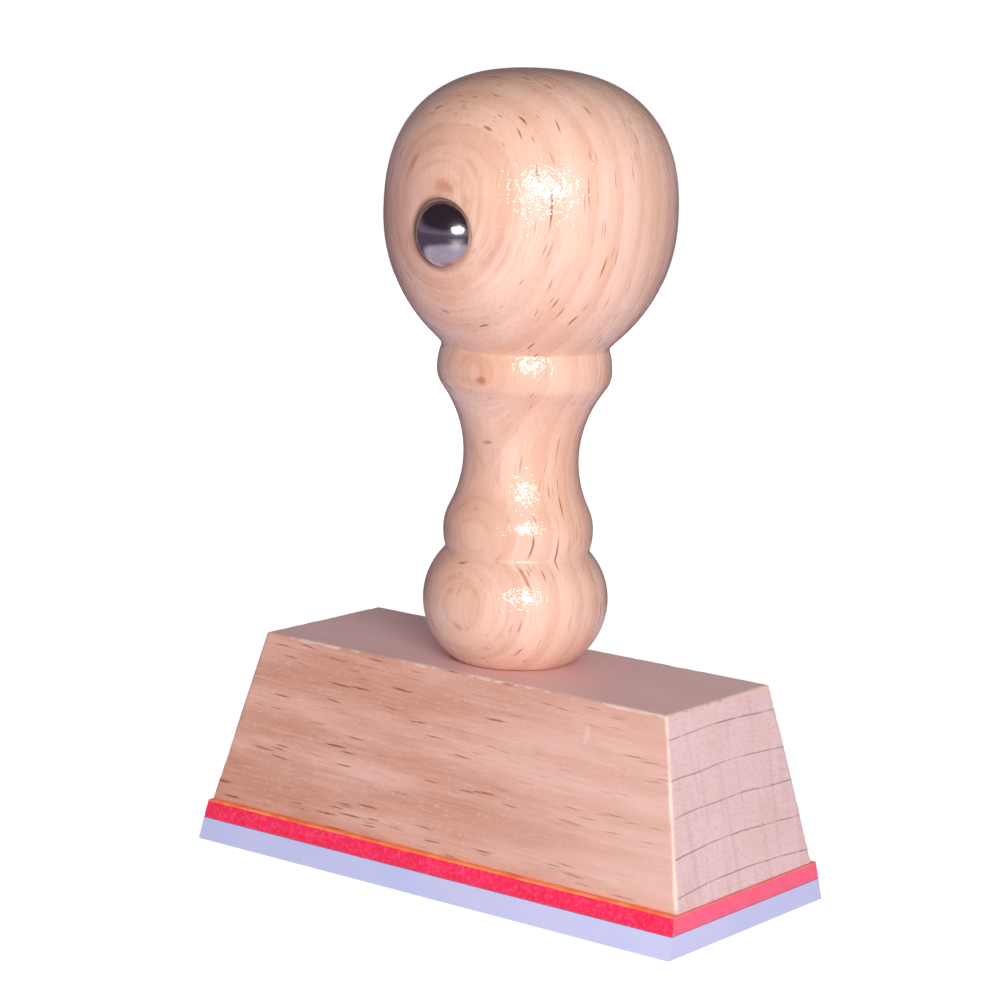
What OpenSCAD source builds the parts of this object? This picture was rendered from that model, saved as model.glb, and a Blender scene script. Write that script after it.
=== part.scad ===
// Wooden hand stamp: a turned knob handle screwed to a bevelled block that carries a foam
// cushion and a rubber printing plate. Millimetres. The origin is the middle of the
// printing face, X runs along the block, -Y is the front and Z points up.

/* [Block] */
// Height of the wooden block
block_h = 20; // [12:0.5:30]
// Length of the block's top
block_top_l = 55.2; // [44:0.2:100]
// Width of the block's top
block_top_w = 20.2; // [17:0.2:40]
// How far each end leans out over the block's height
end_lean = 4.7; // [0:0.1:8]
// How far the front and the back lean out over the block's height
side_lean = 3.4; // [0:0.1:6]
// Chamfer along the block's top edges
arris = 0.3; // [0.1:0.05:0.8]

/* [Handle] */
// Diameter of the knob at its widest
knob_d = 32.4; // [27:0.2:42]
// Height of the knob's widest ring above the handle's foot
knob_z = 49.8; // [45:0.2:64]
// Rise of the crown above the knob's widest ring
crown_h = 15.9; // [10:0.1:24]
// Fullness of the crown, where 2 is an ellipse and more is squarer
crown_fullness = 2.45; // [1.8:0.05:3.2]
// Diameter of the collar under the knob
collar_d = 19.4; // [16:0.2:25]
// Height of the collar's widest ring
collar_z = 32.7; // [29:0.1:38]
// Height from the collar's widest ring to the crease under the knob
collar_to_crease = 2.8; // [1.5:0.1:4]
// Depth of the crease under the knob, below the collar
knob_crease = 0.5; // [0.2:0.1:1.2]
// Diameter of the waist
waist_d = 12.8; // [10:0.2:15.4]
// Height of the waist
waist_z = 23; // [20:0.2:27]
// Diameter of the bead over the foot bulb
bead_d = 16.7; // [15.6:0.1:20]
// Height of the bead's widest ring
bead_z = 14.8; // [14:0.1:17.8]
// Diameter of the foot bulb
bulb_d = 20.7; // [17.6:0.1:25]
// Height of the bulb's widest ring
bulb_z = 6.9; // [5:0.1:8.4]
// Height from the bulb's widest ring to the crease over it
bulb_to_crease = 5.6; // [4:0.1:6]
// Depth of the crease over the bulb, below the bead
bead_crease = 0.35; // [0.1:0.05:0.8]
// Diameter of the handle's flat foot
foot_d = 13.2; // [10:0.2:16]

/* [Marker nail] */
// Diameter of the domed cap
cap_d = 7; // [5:0.1:9]
// Height of the domed cap
cap_h = 2; // [1.4:0.1:2.6]
// Thickness of the cap's sheet metal
cap_wall = 0.4; // [0.3:0.05:0.7]
// Height of the nail above the handle's foot
nail_z = 48.5; // [42:0.5:54]
// Diameter of the nail's shank
shank_d = 1.6; // [1.2:0.1:2.2]
// Length of the shank below the cap's rim
shank_l = 10; // [6:0.5:12.5]
// Diameter of the shank's head, which is brazed under the cap
shank_head_d = 3.2; // [2.6:0.1:3.8]
// Thickness of the shank's head
shank_head_t = 0.4; // [0.2:0.05:0.5]

/* [Dowel screw] */
// Core diameter of the screw
screw_core_d = 3.6; // [2.8:0.1:4.4]
// Height of the thread's crest above the core
thread_depth = 0.7; // [0.4:0.1:1]
// Distance between the thread's turns
thread_pitch = 2.2; // [1.8:0.1:3]
// Width of the thread at its root
thread_root_w = 1.1; // [0.8:0.1:1.4]
// Width of the thread at its crest
thread_crest_w = 0.2; // [0.1:0.05:0.4]
// Length of screw in the block
screw_in_block = 13.5; // [9:0.5:15]
// Length of screw in the handle
screw_in_handle = 16; // [10:0.5:20]
// Plain length on each side of the joint
screw_plain = 1.6; // [1:0.2:3]
// Length of each pointed end
screw_point = 2.6; // [1.5:0.1:4]
// Room between the screw's point and the bottom of its pilot hole
pilot_room = 1; // [0.4:0.1:2]

/* [Cushion and plate] */
// Thickness of the adhesive film under the block
block_film_t = 0.16; // [0.06:0.02:0.3]
// Thickness of the foam cushion
foam_t = 1.8; // [1.5:0.1:4]
// Thickness of the adhesive film under the foam
plate_film_t = 0.08; // [0.04:0.02:0.3]
// Thickness of the rubber plate without its relief
plate_t = 2.4; // [1.6:0.1:4]
// Height of the printing relief
relief_h = 0.5; // [0.3:0.05:1.2]
// How far the cushion stands out past the block at the front and the back
pad_ledge = 0.6; // [0:0.1:1.5]
// How far the cushion stands out past the block at each end
pad_end_ledge = 0.1; // [0:0.1:1.5]
// Outward slope of the trimmed front and back, in degrees
pad_side_angle = 15; // [0:1:25]
// Outward slope of the trimmed ends, in degrees
pad_end_angle = 4; // [0:1:20]

/* [Printing design] */
// Distance from the plate's lower edge to the border line
border_margin = 3; // [2:0.1:5]
// Width of the outer border line
border_line = 0.9; // [0.5:0.1:1.2]
// Gap between the two border lines
border_gap = 0.7; // [0.4:0.1:1.2]
// Width of the inner border line
inner_line = 0.4; // [0.3:0.1:0.8]
// Corner radius of the outer border line
border_r = 3.4; // [3.3:0.1:5]
// Length of each leaf
leaf_l = 5.8; // [4:0.1:6.5]
// Width of each leaf
leaf_w = 2.3; // [1.4:0.1:2.6]
// Distance between pairs of leaves
leaf_gap = 4.4; // [4:0.1:6]
// Lean of the leaves from the stem, in degrees
leaf_lean = 38; // [28:1:50]
// Width of the stems
stem_w = 0.7; // [0.4:0.1:1.2]
// Gap between the flower and the start of each stem
stem_gap = 1.5; // [0.8:0.1:3]
// Smallest gap between the border and the last leaf
tip_gap = 1.2; // [0.8:0.1:3]
// Length of the leaf at the stem's tip
tip_leaf_l = 4.2; // [3:0.1:6]
// Number of petals on the flower
petals = 6; // [5:1:8]
// Length of each petal
petal_l = 5.8; // [4.4:0.1:6.6]
// Width of each petal
petal_w = 2.8; // [1.8:0.1:3.2]
// Diameter of the flower's centre
flower_d = 3.4; // [2.4:0.1:4]

/* [Hidden] */
$fn = 96;

eps = 0.01;             // a hair's overlap where cuts and joins must not share a face
petal_overlap = 0.5;    // how far each petal starts inside the flower's centre
flower_r = flower_d / 2 - petal_overlap + petal_l;
far = 200;              // larger than the whole stamp, for cutting blanks
arc_steps = 9;          // straight steps in each arc of the handle's outline
crown_steps = 18;
turn_steps = 18;        // straight steps in each turn of the thread
thread_sunk = 0.25;     // how far the thread's root is sunk in the core

// Heights of the stack, from the printing face up.
plate_foot_z = relief_h;
plate_film_z = plate_foot_z + plate_t;
foam_z = plate_film_z + plate_film_t;
block_film_z = foam_z + foam_t;
block_z = block_film_z + block_film_t;
handle_base = block_z + block_h;

// The block's foot, and the trimmed stack under it at any height.
block_foot_l = block_top_l + 2 * end_lean;
block_foot_w = block_top_w + 2 * side_lean;
function pad_l(z) = block_foot_l + 2 * pad_end_ledge + 2 * (block_z - z) * tan(pad_end_angle);
function pad_w(z) = block_foot_w + 2 * pad_ledge + 2 * (block_z - z) * tan(pad_side_angle);

// An arc that stands upright where it starts, at radius r0 and height z0, and ends at r1, z1.
// As a list of [radius, height] points without the last one.
function upright_arc(r0, z0, r1, z1) =
    let (reach = r1 - r0, rise = z1 - z0)
    let (centre = r0 + (reach * reach + rise * rise) / (2 * reach))
    let (start = r0 < centre ? 180 : 0, end = atan2(rise, r1 - centre))
    let (sweep = end - start > 180 ? end - start - 360
               : end - start < -180 ? end - start + 360 : end - start)
    [for (i = [0 : arc_steps - 1])
        let (a = start + sweep * i / arc_steps)
        [centre + abs(r0 - centre) * cos(a), z0 + abs(r0 - centre) * sin(a)]];

function backwards(points) = [for (i = [len(points) - 1 : -1 : 0]) points[i]];

// Two upright rings joined by two arcs that meet at a point between them.
function ring_to_ring(r0, z0, rj, zj, r1, z1) =
    concat(upright_arc(r0, z0, rj, zj), [[rj, zj]],
           [for (p = backwards(upright_arc(r1, z1, rj, zj))) if (p[1] < z1 - eps) p]);

// Each side of the waist is two arcs that meet on the straight line between their rings.
bead_join = 0.31;       // share of the way from the bead to the waist
collar_join = 0.8;      // share of the way from the waist to the collar
function between(a, b, share) = a + (b - a) * share;

crease_over_bulb = [bead_d / 2 - bead_crease, bulb_z + bulb_to_crease];
crease_under_knob = [collar_d / 2 - knob_crease, collar_z + collar_to_crease];

crown = [for (i = [0 : crown_steps - 1])
    let (a = 90 * i / crown_steps)
    [knob_d / 2 * pow(cos(a), 2 / crown_fullness),
     knob_z + crown_h * pow(sin(a), 2 / crown_fullness)]];

handle_outline = concat(
    [[0, 0], [foot_d / 2, 0]],
    [for (p = backwards(upright_arc(bulb_d / 2, bulb_z, foot_d / 2, 0))) if (p[1] < bulb_z - eps) p],
    ring_to_ring(bulb_d / 2, bulb_z, crease_over_bulb[0], crease_over_bulb[1], bead_d / 2, bead_z),
    ring_to_ring(bead_d / 2, bead_z,
                 between(bead_d / 2, waist_d / 2, bead_join), between(bead_z, waist_z, bead_join),
                 waist_d / 2, waist_z),
    ring_to_ring(waist_d / 2, waist_z,
                 between(waist_d / 2, collar_d / 2, collar_join),
                 between(waist_z, collar_z, collar_join),
                 collar_d / 2, collar_z),
    ring_to_ring(collar_d / 2, collar_z, crease_under_knob[0], crease_under_knob[1],
                 knob_d / 2, knob_z),
    crown,
    [[0, knob_z + crown_h]]);

// Radius of the handle's outline at a height above its foot.
outline_table = [for (p = handle_outline) [p[1], p[0]]];
function handle_r(z) = lookup(z, outline_table);

// The cap's rim lies in an upright plane. The knob's surface is nearer the axis at some places
// round the rim than at others, and the rim is driven in to just past the middle of the two.
rim_bite = 0.05;
cap_clearance = 0.2;    // round the cap in its seat
seat_d = cap_d + 2 * cap_clearance;
rim_reach = [for (a = [0 : 15 : 345])
    sqrt(pow(handle_r(nail_z + seat_d / 2 * sin(a)), 2) - pow(seat_d / 2 * cos(a), 2))];
rim_y = (min(rim_reach) + max(rim_reach)) / 2 - rim_bite;
dome_r = (cap_d * cap_d / 4 + cap_h * cap_h) / (2 * cap_h);
dome_z = cap_h - dome_r;    // centre of the dome, from the rim's plane
nail_point = 2 * shank_d;   // length of the nail's tapered point

// A bar of trapezoid section along X, with its wide side down.
module bevelled_bar(top_w, foot_w, h) {
    rotate([90, 0, 90])
        translate([0, 0, -far / 2])
            linear_extrude(far)
                polygon([[-foot_w / 2, 0], [foot_w / 2, 0], [top_w / 2, h - arris],
                         [top_w / 2 - arris, h], [arris - top_w / 2, h], [-top_w / 2, h - arris]]);
}

// A solid cut to length and width from bevelled bars, standing on z.
module bevelled_block(top_l, top_w, foot_l, foot_w, h) {
    intersection() {
        bevelled_bar(top_w, foot_w, h);
        rotate([0, 0, 90]) bevelled_bar(top_l, foot_l, h);
    }
}

// The slice of the trimmed stack between two heights.
module pad_slice(z0, z1) {
    intersection() {
        rotate([90, 0, 90])
            translate([0, 0, -far / 2])
                linear_extrude(far)
                    polygon([[-pad_w(z0) / 2, z0], [pad_w(z0) / 2, z0],
                             [pad_w(z1) / 2, z1], [-pad_w(z1) / 2, z1]]);
        rotate([90, 0, 0])
            translate([0, 0, -far / 2])
                linear_extrude(far)
                    polygon([[-pad_l(z0) / 2, z0], [pad_l(z0) / 2, z0],
                             [pad_l(z1) / 2, z1], [-pad_l(z1) / 2, z1]]);
    }
}

// Puts its children on the nail's axis: their Z points out of the knob, from the rim's plane.
module on_nail_axis() {
    translate([0, -rim_y, handle_base + nail_z])
        rotate([90, 0, 0])
            children();
}

module handle() {
    color("burlywood")
        difference() {
            translate([0, 0, handle_base])
                rotate_extrude()
                    polygon(handle_outline);
            translate([0, 0, handle_base])
                cylinder(d = screw_core_d, h = screw_in_handle + pilot_room);
            on_nail_axis() {
                cylinder(d = seat_d, h = far);
                shank_below_rim();
            }
        }
}

// A stamped dome: the outer ball less the inner one, cut off at the rim's plane.
module marker_nail_cap() {
    color("gainsboro")
        on_nail_axis()
            difference() {
                intersection() {
                    translate([0, 0, dome_z]) sphere(r = dome_r);
                    cylinder(d = far, h = far);
                }
                translate([0, 0, dome_z]) sphere(r = dome_r - cap_wall);
            }
}

module shank_below_rim() {
    translate([0, 0, nail_point - shank_l]) cylinder(d = shank_d, h = shank_l - nail_point);
    translate([0, 0, -shank_l]) cylinder(d1 = 0, d2 = shank_d, h = nail_point);
}

// The head is rounded on top to lie against the inside of the dome.
module marker_nail_shank() {
    head_z = cap_h - cap_wall - shank_head_t;
    color("silver")
        on_nail_axis() {
            shank_below_rim();
            intersection() {
                union() {
                    cylinder(d = shank_d, h = cap_h);
                    translate([0, 0, head_z]) cylinder(d = shank_head_d, h = cap_h);
                }
                translate([0, 0, dome_z]) sphere(r = dome_r - cap_wall);
            }
        }
}

// Radius of the screw's core at a height above the joint, cones included.
function core_r(z) =
    screw_core_d / 2 * min(1, (z + screw_in_block) / screw_point, (screw_in_handle - z) / screw_point);

// One run of thread between two heights. Each end fades out until it is buried in the core.
module thread(z0, z1) {
    fade = thread_pitch / 2;
    steps = floor((z1 - z0) / thread_pitch * turn_steps);
    rings = [for (i = [0 : steps])
        let (z = z0 + (z1 - z0) * i / steps, a = 360 * z / thread_pitch)
        let (root = core_r(z) - thread_sunk, buried = core_r(z) - thread_sunk / 2)
        let (share = min(1, (z - z0) / fade, (z1 - z) / fade))
        let (crest = between(buried, core_r(z) + thread_depth, share))
        [[root, -thread_root_w / 2], [crest, -thread_crest_w / 2],
         [crest, thread_crest_w / 2], [root, thread_root_w / 2]]
        * [[cos(a), sin(a), 0], [0, 0, 1]] + [for (k = [1 : 4]) [0, 0, z]]];
    sides = [for (i = [0 : steps - 1], k = [0 : 3])
        [i * 4 + k, i * 4 + (k + 1) % 4, i * 4 + 4 + (k + 1) % 4, i * 4 + 4 + k]];
    ends = [[3, 2, 1, 0], [for (k = [0 : 3]) steps * 4 + k]];
    polyhedron([for (ring = rings) each ring], concat(sides, ends), convexity = 10);
}

module dowel_screw() {
    color("slategray")
        translate([0, 0, handle_base]) {
            translate([0, 0, screw_point - screw_in_block])
                cylinder(d = screw_core_d, h = screw_in_block + screw_in_handle - 2 * screw_point);
            translate([0, 0, -screw_in_block]) cylinder(d1 = 0, d2 = screw_core_d, h = screw_point);
            translate([0, 0, screw_in_handle - screw_point])
                cylinder(d1 = screw_core_d, d2 = 0, h = screw_point);
            thread(screw_point / 2 - screw_in_block, -screw_plain);
            thread(screw_plain, screw_in_handle - screw_point / 2);
        }
}

module mount_block() {
    color("tan")
        difference() {
            translate([0, 0, block_z])
                bevelled_block(block_top_l, block_top_w, block_foot_l, block_foot_w, block_h);
            translate([0, 0, handle_base - screw_in_block - pilot_room])
                cylinder(d = screw_core_d, h = screw_in_block + pilot_room + eps);
        }
}

module block_adhesive_film() {
    color("orange") pad_slice(block_film_z, block_z);
}

module cushion_foam() {
    color("crimson") pad_slice(foam_z, block_film_z);
}

module plate_adhesive_film() {
    color("dimgray") pad_slice(plate_film_z, foam_z);
}

// A pointed leaf along X from the origin, the overlap of two discs.
module leaf(l, w) {
    disc_r = (l * l + w * w) / (4 * w);
    intersection_for(side = [-1, 1])
        translate([l / 2, side * (disc_r - w / 2)]) circle(r = disc_r);
}

module rounded_rect(l, w, r) {
    square([l - 2 * r, w], center = true);
    square([l, w - 2 * r], center = true);
    for (x = [-1, 1], y = [-1, 1])
        translate([x * (l / 2 - r), y * (w / 2 - r)]) circle(r = r);
}

// A closed line that runs round the plate, inset from its lower edge.
module border_ring(inset, line) {
    l = pad_l(plate_foot_z) - 2 * inset;
    w = pad_w(plate_foot_z) - 2 * inset;
    r = border_r + border_margin - inset;
    difference() {
        rounded_rect(l, w, r);
        rounded_rect(l - 2 * line, w - 2 * line, r - line);
    }
}

module border() {
    border_ring(border_margin, border_line);
    border_ring(border_margin + border_line + border_gap, inner_line);
}

// A sprig that starts beside the flower, with as many pairs of leaves as fit in the border.
module sprig() {
    start = flower_r + stem_gap;
    border_w = border_margin + border_line + border_gap + inner_line;
    room = pad_l(plate_foot_z) / 2 - border_w - tip_gap - start - tip_leaf_l;
    pairs = max(1, floor(room / leaf_gap));
    translate([start, -stem_w / 2]) square([pairs * leaf_gap + stem_w, stem_w]);
    for (i = [0 : pairs - 1], side = [-1, 1])
        translate([start + i * leaf_gap + stem_w, 0]) rotate(side * leaf_lean) leaf(leaf_l, leaf_w);
    translate([start + pairs * leaf_gap, 0]) leaf(tip_leaf_l, leaf_w);
}

module flower() {
    circle(d = flower_d);
    for (i = [0 : petals - 1])
        rotate(360 / petals * i) translate([flower_r - petal_l, 0]) leaf(petal_l, petal_w);
}

module stamp_plate() {
    color("lavender") {
        pad_slice(plate_foot_z, plate_film_z);
        linear_extrude(plate_foot_z + eps) {
            border();
            flower();
            sprig();
            mirror([1, 0]) sprig();
        }
    }
}

handle();
marker_nail_cap();
marker_nail_shank();
dowel_screw();
mount_block();
block_adhesive_film();
cushion_foam();
plate_adhesive_film();
stamp_plate();
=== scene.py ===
import bmesh
import bpy
import math
from mathutils import Matrix, Vector, noise


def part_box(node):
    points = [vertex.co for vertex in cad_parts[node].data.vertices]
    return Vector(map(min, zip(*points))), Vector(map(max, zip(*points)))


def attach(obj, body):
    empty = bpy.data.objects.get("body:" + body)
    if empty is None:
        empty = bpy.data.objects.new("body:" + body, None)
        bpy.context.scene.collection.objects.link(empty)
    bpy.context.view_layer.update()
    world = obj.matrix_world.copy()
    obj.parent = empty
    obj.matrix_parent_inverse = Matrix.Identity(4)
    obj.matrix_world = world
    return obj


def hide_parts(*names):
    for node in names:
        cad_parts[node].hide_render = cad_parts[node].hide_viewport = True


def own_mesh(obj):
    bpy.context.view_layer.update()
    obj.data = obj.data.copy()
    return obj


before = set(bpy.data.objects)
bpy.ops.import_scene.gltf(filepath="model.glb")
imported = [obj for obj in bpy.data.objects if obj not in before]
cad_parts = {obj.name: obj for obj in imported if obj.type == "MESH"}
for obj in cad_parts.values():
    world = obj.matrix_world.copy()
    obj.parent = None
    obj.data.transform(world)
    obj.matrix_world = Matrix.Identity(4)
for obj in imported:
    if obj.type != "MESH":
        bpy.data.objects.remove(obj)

for spare in ("Cube", "Camera", "Light"):    # what an ordinary new file holds
    if spare in bpy.data.objects:
        bpy.data.objects.remove(bpy.data.objects[spare])
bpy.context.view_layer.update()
mm = 0.001


def deselectAll():
    if bpy.context.object and bpy.context.object.mode != "OBJECT":
        bpy.ops.object.mode_set(mode="OBJECT")
    bpy.ops.object.select_all(action="DESELECT")


def activate(piece):
    deselectAll()
    piece.select_set(True)
    bpy.context.view_layer.objects.active = piece


def editMode(select="DESELECT", part="FACE"):
    bpy.ops.object.mode_set(mode="EDIT")
    bpy.ops.mesh.select_mode(type=part)
    bpy.ops.mesh.select_all(action=select)


def objectMode():
    bpy.ops.object.mode_set(mode="OBJECT")


def named(name):
    piece = bpy.context.object
    piece.name = name
    piece.data.name = name
    return piece


def applyPlace(piece):
    activate(piece)
    bpy.ops.object.transform_apply(location=True, rotation=True, scale=True)


def addModifier(piece, kind, **values):
    activate(piece)
    modifier = piece.modifiers.new(kind.title(), kind)
    for key, value in values.items():
        setattr(modifier, key, value)
    bpy.ops.object.modifier_apply(modifier=modifier.name)


def selectWhere(piece, part, test):
    # picks vertices, edges or faces in edit mode by a test on them
    bm = bmesh.from_edit_mesh(piece.data)
    for item in getattr(bm, part):
        item.select_set(bool(test(item)))
    bm.select_flush_mode()
    bmesh.update_edit_mesh(piece.data)


def run(edge):
    return edge.verts[0].co - edge.verts[1].co


def smooth(piece, angle=40):
    activate(piece)
    bpy.ops.object.shade_smooth_by_angle(angle=math.radians(angle))


def smoothStep(low, high, value):
    share = min(1, max(0, (value - low) / (high - low)))
    return share * share * (3 - 2 * share)


class Graph:
    def __init__(self, name):
        self.material = bpy.data.materials.new(name)
        self.material.use_nodes = True
        self.tree = self.material.node_tree
        self.tree.nodes.clear()
        self.output = self.add("ShaderNodeOutputMaterial")
        self.shader = self.add("ShaderNodeBsdfPrincipled")
        self.tree.links.new(self.shader.outputs["BSDF"], self.output.inputs["Surface"])
        self.coords = self.add("ShaderNodeTexCoord")

    def add(self, kind, **values):
        node = self.tree.nodes.new(kind)
        for key, value in values.items():
            setattr(node, key, value)
        return node

    def put(self, socket, value):
        if isinstance(value, bpy.types.NodeSocket):
            self.tree.links.new(value, socket)
        elif value is not None:
            socket.default_value = value

    def math(self, operation, first, second=None, third=None):
        node = self.add("ShaderNodeMath", operation=operation)
        for socket, value in zip(node.inputs, (first, second, third)):
            self.put(socket, value)
        return node.outputs[0]

    def vector(self, operation, first, second=None):
        node = self.add("ShaderNodeVectorMath", operation=operation)
        self.put(node.inputs[0], first)
        self.put(node.inputs[1], second)
        return node.outputs[0]

    def length(self, vector):
        node = self.add("ShaderNodeVectorMath", operation="LENGTH")
        self.put(node.inputs[0], vector)
        return node.outputs["Value"]

    def split(self, vector):
        node = self.add("ShaderNodeSeparateXYZ")
        self.put(node.inputs[0], vector)
        return node.outputs

    def join(self, x, y, z):
        node = self.add("ShaderNodeCombineXYZ")
        for socket, value in zip(node.inputs, (x, y, z)):
            self.put(socket, value)
        return node.outputs[0]

    def stretched(self, parts, scale):
        return self.join(*[self.math("MULTIPLY", part, amount) for part, amount in zip(parts, scale)])

    def noise(self, vector, scale, detail=2.0, roughness=0.5):
        node = self.add("ShaderNodeTexNoise")
        self.put(node.inputs["Vector"], vector)
        self.put(node.inputs["Scale"], scale)
        self.put(node.inputs["Detail"], detail)
        self.put(node.inputs["Roughness"], roughness)
        return node.outputs["Fac"]

    def voronoi(self, vector, scale):
        node = self.add("ShaderNodeTexVoronoi")
        self.put(node.inputs["Vector"], vector)
        self.put(node.inputs["Scale"], scale)
        return node.outputs

    def ramp(self, value, low, high):
        # 0 below low and 1 above high
        node = self.add("ShaderNodeMapRange", interpolation_type="SMOOTHSTEP")
        self.put(node.inputs["Value"], value)
        self.put(node.inputs["From Min"], low)
        self.put(node.inputs["From Max"], high)
        return node.outputs[0]

    def mix(self, share, first, second):
        node = self.add("ShaderNodeMix", data_type="RGBA")
        self.put(node.inputs[0], share)
        self.put(node.inputs[6], first)
        self.put(node.inputs[7], second)
        return node.outputs[2]

    def bump(self, height, strength, distance, normal=None):
        node = self.add("ShaderNodeBump")
        self.put(node.inputs["Height"], height)
        self.put(node.inputs["Strength"], strength)
        self.put(node.inputs["Distance"], distance)
        self.put(node.inputs["Normal"], normal)
        return node.outputs[0]

    def attribute(self, name):
        node = self.add("ShaderNodeAttribute", attribute_name=name)
        return node.outputs["Fac"]

    def set(self, **sockets):
        for key, value in sockets.items():
            self.put(self.shader.inputs[key.replace("_", " ")], value)


def colour(red, green, blue):
    # from screen values, 0 to 255
    def linear(value):
        value = value / 255
        return value / 12.92 if value <= 0.04045 else ((value + 0.055) / 1.055) ** 2.4
    return (linear(red), linear(green), linear(blue), 1)


def millimetres(graph):
    return graph.vector("MULTIPLY", graph.coords.outputs["Object"], (1000, 1000, 1000))


print("helpers ready")


shot = {
    "place": (210.05, -288.61, 107.0),    # mm
    "azimuth": 36.39, "elevation": 10.19, "roll": 2.27,    # degrees
    "lens": 117.4, "sensor": 36,
    "near": 0.01, "far": 50,    # metres
}
lights = {
    # degrees round the stamp, millimetres and watts
    "key": {"azimuth": 46, "elevation": 17.5, "distance": 420, "aim": 40, "size": (205, 95),
            "power": 1.5, "tint": (1, 0.97, 0.94)},
    "back": {"azimuth": 216, "elevation": 8, "distance": 600, "aim": 40, "size": (300, 300),
             "power": 1.5, "tint": (1, 0.98, 0.97)},
}
floorLook = {"size": 30, "drop": 0.02, "colour": (0.3, 0.3, 0.31, 1), "roughness": 0.9, "glow": 0.95}
tableLook = {
    "size": 3, "drop": 0.5, "nearColour": (0.5, 0.43, 0.52, 1), "farColour": (0.54, 0.47, 0.58, 1),
    "nearToFar": (30, 260), "edge": (105, 165), "beyond": (0.09, 0.07, 0.1, 1),    # mm from the middle
}
room = {
    "air": (0.205, 0.185, 0.22, 1), "wall": (0.2, 0.16, 0.21, 1), "ceiling": (0.035, 0.025, 0.035, 1),
    "wallTop": 0.3, "behind": (1, 1, 1, 1),
}


def makeCamera():
    data = bpy.data.cameras.new("camera")
    data.lens, data.sensor_width = shot["lens"], shot["sensor"]
    data.clip_start, data.clip_end = shot["near"], shot["far"]
    camera = bpy.data.objects.new("camera", data)
    bpy.context.scene.collection.objects.link(camera)
    turn = (Matrix.Rotation(math.radians(shot["azimuth"]), 4, "Z")
            @ Matrix.Rotation(math.radians(90 - shot["elevation"]), 4, "X")
            @ Matrix.Rotation(math.radians(shot["roll"]), 4, "Z"))
    camera.matrix_world = Matrix.Translation(Vector(shot["place"]) * mm) @ turn
    bpy.context.scene.camera = camera


def around(azimuth, elevation, distance, height):
    # a place round the stamp: azimuth 0 is in front and 90 is past the right end
    a, e = math.radians(azimuth), math.radians(elevation)
    direction = Vector((math.sin(a) * math.cos(e), -math.cos(a) * math.cos(e), math.sin(e)))
    return direction * distance * mm + Vector((0, 0, height * mm))


def makeLight(name):
    look = lights[name]
    data = bpy.data.lights.new(name, "AREA")
    data.shape = "RECTANGLE"
    data.size, data.size_y = look["size"][0] * mm, look["size"][1] * mm
    data.energy, data.color = look["power"], look["tint"]
    lamp = bpy.data.objects.new(name, data)
    bpy.context.scene.collection.objects.link(lamp)
    lamp.location = around(look["azimuth"], look["elevation"], look["distance"], look["aim"])
    backwards = lamp.location - Vector((0, 0, look["aim"] * mm))
    lamp.rotation_euler = backwards.to_track_quat("Z", "Y").to_euler()
    return lamp


def plane(name, size, height):
    deselectAll()
    bpy.ops.mesh.primitive_plane_add(size=size, location=(0, 0, height))
    sheet = named(name)
    applyPlace(sheet)
    return sheet


def makeFloor():
    floor = plane("floor", floorLook["size"], -floorLook["drop"] * mm)
    graph = Graph("pale floor")
    graph.set(Base_Color=floorLook["colour"], Roughness=floorLook["roughness"],
              Emission_Color=(1, 1, 1, 1), Emission_Strength=floorLook["glow"])
    # seen only from above, so that the underside can be looked at too
    clear = graph.add("ShaderNodeBsdfTransparent")
    side = graph.add("ShaderNodeNewGeometry")
    pick = graph.add("ShaderNodeMixShader")
    graph.put(pick.inputs[0], side.outputs["Backfacing"])
    graph.tree.links.new(graph.shader.outputs["BSDF"], pick.inputs[1])
    graph.tree.links.new(clear.outputs["BSDF"], pick.inputs[2])
    graph.tree.links.new(pick.outputs["Shader"], graph.output.inputs["Surface"])
    floor.data.materials.append(graph.material)
    floor.visible_diffuse = floor.visible_glossy = floor.visible_shadow = False


def makeTableGlow():
    # the pale lilac light that a table top throws up at the object
    glow = plane("tableGlow", tableLook["size"], -tableLook["drop"] * mm)
    graph = Graph("table glow")
    fromMiddle = graph.length(millimetres(graph))
    near = graph.math("SUBTRACT", 1, graph.ramp(fromMiddle, *tableLook["nearToFar"]))
    tint = graph.mix(near, tableLook["farColour"], tableLook["nearColour"])
    # gloss shows the table's dark edge a hand's width away
    ray = graph.add("ShaderNodeLightPath").outputs["Is Glossy Ray"]
    edge = graph.math("MULTIPLY", ray, graph.ramp(fromMiddle, *tableLook["edge"]))
    tint = graph.mix(edge, tint, tableLook["beyond"])
    graph.set(Base_Color=(0, 0, 0, 1), Emission_Color=tint, Emission_Strength=1.0)
    glow.data.materials.append(graph.material)
    glow.visible_camera = glow.visible_shadow = False


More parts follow.
